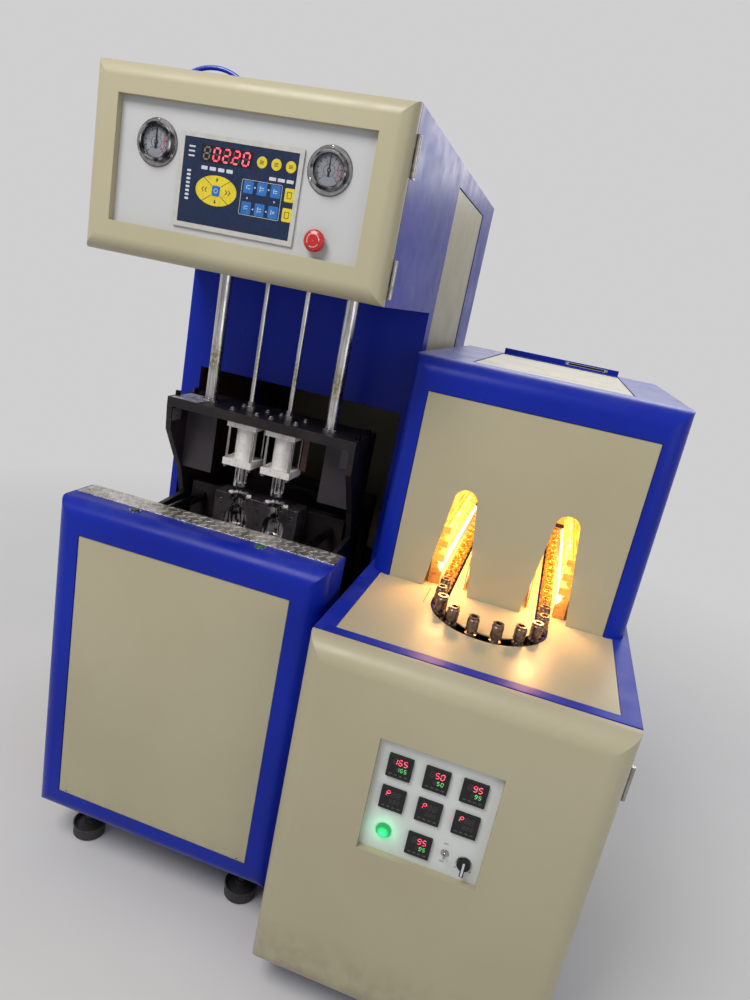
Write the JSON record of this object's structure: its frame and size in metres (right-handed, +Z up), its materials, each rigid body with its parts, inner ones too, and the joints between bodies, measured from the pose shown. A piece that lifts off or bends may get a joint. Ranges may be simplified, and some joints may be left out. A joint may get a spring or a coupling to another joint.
{
  "type": "blow moulding machine",
  "caption": "Semi-automatic stretch blow moulding machine with its infra-red preform heater beside it.",
  "frame": {"origin": "on the floor, under the middle of the box round both units", "axes": "+Z up, +Y to the back, +X to the right as the operator stands in front"},
  "size_m": [1.2812, 1.3099, 1.8602],
  "materials": {
    "blue_paint": "semi-gloss",
    "cream_paint": "semi-gloss",
    "panel_white": "matte",
    "black_steel": "semi-gloss",
    "dark_steel": "satin",
    "bright_steel": "satin",
    "chrome": "polished",
    "aluminium": "satin",
    "cast_green": "semi-gloss",
    "black_plastic": "matte",
    "grey_plastic": "matte",
    "keypad_film": "glossy",
    "red_plastic": "glossy",
    "green_plastic": "glossy",
    "green_lamp": "glossy",
    "blue_tube": "glossy",
    "rubber": "matte",
    "glass": "clear",
    "lamp_glass": "clear"
  },
  "bodies": {
    "machine": {"blower_cabinet": "blue_paint", "blower_covers": "cream_paint", "tread_plate": "bright_steel", "start_button_rings": "bright_steel", "levelling_feet": "rubber", "machine_bed": "black_steel", "head_box": "blue_paint", "fixed_hinge_leaves": "bright_steel", "roof_air_hose": "blue_tube", "roof_fittings": "bright_steel", "guide_posts": "chrome", "crosshead_plates": "black_steel", "crosshead_cheeks": "black_steel", "crosshead_fittings": "bright_steel", "pneumatic_units": "aluminium", "seal_cylinders": "aluminium", "mould_rear": "dark_steel", "neck_rings_rear": "chrome", "fixed_platen": "black_steel", "heater_cabinet": "blue_paint", "heater_covers": "cream_paint", "table_plates": "cream_paint", "preform_chain": "dark_steel", "preform_holders": "bright_steel", "chain_drive": "cast_green", "oven_casing": "blue_paint", "oven_front_panel": "cream_paint", "oven_lamps": "lamp_glass", "oven_reflectors": "aluminium"},
    "head_door": {"head_door": "cream_paint", "head_panel": "panel_white", "keypad_frame": "grey_plastic", "keypad_face": "keypad_film", "gauge_cases": "chrome", "gauge_dials": "panel_white", "gauge_lenses": "glass", "stop_button_body": "black_plastic", "head_door_leaves": "bright_steel"},
    "needle_left": {"gauge_needle_left": "black_steel"},
    "needle_right": {"gauge_needle_right": "black_steel"},
    "stop_button": {"stop_button": "red_plastic"},
    "start_left": {"start_button_left": "grey_plastic"},
    "start_right": {"start_button_right": "green_plastic"},
    "stretch_carriage": {"stretch_plate": "dark_steel", "stretch_rods": "chrome"},
    "seal_left": {"blow_nozzle_left": "chrome"},
    "seal_right": {"blow_nozzle_right": "chrome"},
    "clamp": {"mould_front": "dark_steel", "neck_rings_front": "chrome", "moving_platen": "black_steel", "tie_bars": "chrome", "clamp_yoke": "black_steel"},
    "heater_door": {"heater_door": "cream_paint", "heater_door_leaves": "bright_steel", "heater_panel": "panel_white", "temperature_controllers": "black_plastic", "power_lamp": "green_lamp", "switch_bases": "chrome"},
    "toggle": {"toggle_lever": "chrome"},
    "selector": {"selector_knob": "black_plastic"}
  },
  "joints": [
    {"name": "head_door_hinge", "type": "hinge", "parent": "machine", "child": "head_door", "pos_m": [0.00415, -0.458, 1.646], "axis": [0, 0, 1], "range_deg": [0, 100]},
    {"name": "needle_left_turn", "type": "hinge", "parent": "head_door", "child": "needle_left", "pos_m": [-0.49765, -0.483, 1.686], "axis": [0, -1, 0], "range_deg": [-135, 135]},
    {"name": "needle_right_turn", "type": "hinge", "parent": "head_door", "child": "needle_right", "pos_m": [-0.14365, -0.483, 1.686], "axis": [0, -1, 0], "range_deg": [-135, 135]},
    {"name": "stop_push", "type": "slide", "parent": "head_door", "child": "stop_button", "axis": [0, 1, 0], "range_m": [0, 0.004]},
    {"name": "start_left_push", "type": "slide", "parent": "machine", "child": "start_left", "axis": [0, 0, -1], "range_m": [0, 0.003], "stiffness_N_per_m": 500, "springref_m": -0.002},
    {"name": "start_right_push", "type": "slide", "parent": "machine", "child": "start_right", "axis": [0, 0, -1], "range_m": [0, 0.003], "stiffness_N_per_m": 500, "springref_m": -0.002},
    {"name": "stretch_slide", "type": "slide", "parent": "machine", "child": "stretch_carriage", "axis": [0, 0, -1], "range_m": [0, 0.21]},
    {"name": "seal_left_slide", "type": "slide", "parent": "machine", "child": "seal_left", "axis": [0, 0, -1], "range_m": [0, 0.0257]},
    {"name": "seal_right_slide", "type": "slide", "parent": "machine", "child": "seal_right", "axis": [0, 0, -1], "range_m": [0, 0.0257]},
    {"name": "mould_close", "type": "slide", "parent": "machine", "child": "clamp", "axis": [0, 1, 0], "range_m": [0, 0.2077]},
    {"name": "heater_door_hinge", "type": "hinge", "parent": "machine", "child": "heater_door", "pos_m": [0.63615, -0.6078, 0.48], "axis": [0, 0, 1], "range_deg": [0, 110]},
    {"name": "toggle_flip", "type": "hinge", "parent": "heater_door", "child": "toggle", "pos_m": [0.36335, -0.6419, 0.518], "axis": [1, 0, 0], "range_deg": [-12, 12]},
    {"name": "selector_turn", "type": "hinge", "parent": "heater_door", "child": "selector", "pos_m": [0.40235, -0.639, 0.51], "axis": [0, -1, 0], "range_deg": [-45, 45]}
  ],
  "couplings": [
    {"joint": "seal_right_slide", "follows": "seal_left_slide", "ratio": 1}
  ]
}
